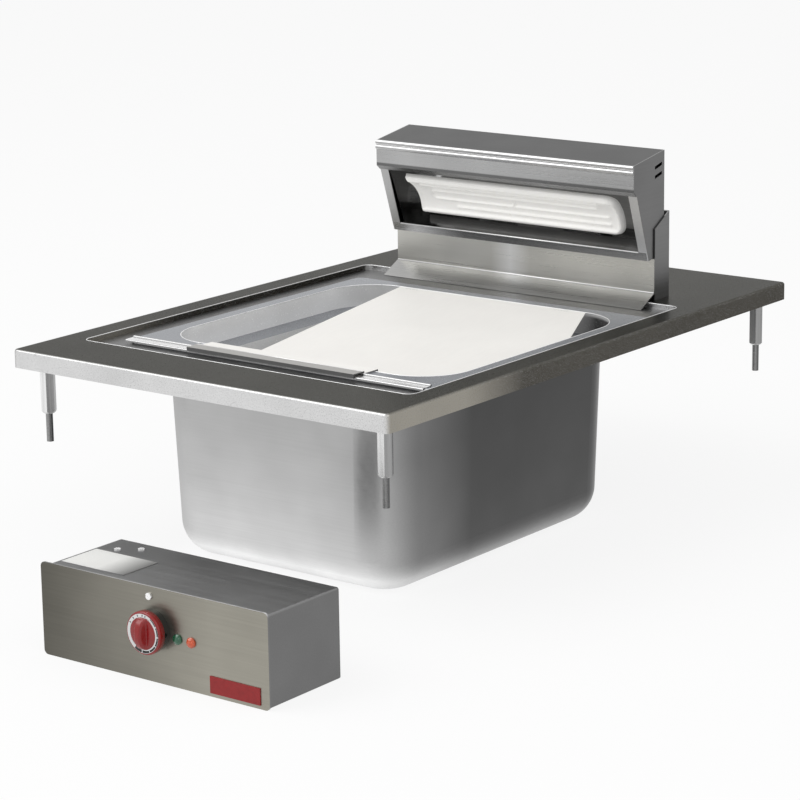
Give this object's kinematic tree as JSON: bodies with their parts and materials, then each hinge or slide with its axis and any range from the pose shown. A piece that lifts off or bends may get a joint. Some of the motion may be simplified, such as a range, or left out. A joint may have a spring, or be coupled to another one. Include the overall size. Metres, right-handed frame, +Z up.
{
  "type": "chip warmer",
  "caption": "Drop-in chip warmer: steel plate with a well, lift-out pan and slanted tray under a ceramic heat lamp hood, and a separate control box with dial and pilot lamps.",
  "frame": {"origin": "middle of the top plate's stud rectangle, on the worktop's surface where the flange rests", "axes": "+Z up, +X to the right along the front edge, +Y to the back, towards the lamp hood"},
  "size_m": [0.418, 0.7874, 0.32],
  "materials": {
    "brushed_steel": "brushed",
    "mirror_steel": "polished",
    "heater_ceramic": "satin",
    "lead_sleeve": "braided sleeve",
    "black_plastic": "matte",
    "red_plastic": "gloss",
    "pale_metal": "satin",
    "green_lens": "clear",
    "orange_lens": "clear"
  },
  "bodies": {
    "unit": {"top_plate": "brushed_steel", "stud_sleeves": "brushed_steel", "stud_pins": "brushed_steel", "well_tank": "brushed_steel", "support_front": "brushed_steel", "support_cover": "brushed_steel", "support_feet": "brushed_steel", "foot_bolts": "brushed_steel", "hood_top": "brushed_steel", "hood_fascia": "brushed_steel", "hood_side_left": "brushed_steel", "hood_side_right": "brushed_steel", "hood_bottom": "brushed_steel", "reflector": "mirror_steel", "heater_element": "heater_ceramic", "heater_clips": "brushed_steel", "heater_terminal": "heater_ceramic", "heater_leads": "lead_sleeve", "lead_conduit": "brushed_steel", "support_gland": "black_plastic", "gland_locknut": "black_plastic", "hood_spacers": "brushed_steel", "hood_screws": "brushed_steel", "control_panel": "brushed_steel", "control_shell": "brushed_steel", "control_rear_cover": "brushed_steel", "box_glands": "black_plastic", "dial_bezel": "black_plastic", "regulator_body": "black_plastic", "regulator_nut": "brushed_steel", "green_lamp": "green_lens", "orange_lamp": "orange_lens", "lamp_holders": "black_plastic", "panel_screw": "brushed_steel", "top_screws": "brushed_steel", "badge_plate": "red_plastic", "rating_plate": "pale_metal", "terminal_block": "black_plastic"},
    "pan": {"gn_pan": "brushed_steel", "rim_rail": "brushed_steel"},
    "tray": {"chip_tray": "brushed_steel"},
    "knob": {"control_knob": "red_plastic", "scale_ring": "pale_metal", "regulator_shaft": "brushed_steel"}
  },
  "joints": [
    {"name": "pan_lift", "type": "slide", "parent": "unit", "child": "pan", "axis": [0, 0, 1], "range_m": [0, 0.25]},
    {"name": "tray_lift", "type": "slide", "parent": "pan", "child": "tray", "axis": [0, 0, 1], "range_m": [0, 0.2]},
    {"name": "dial_turn", "type": "hinge", "parent": "unit", "child": "knob", "pos_m": [0.1055, -0.468, -0.1285], "axis": [0, 1, 0], "range_deg": [0, 290]}
  ]
}
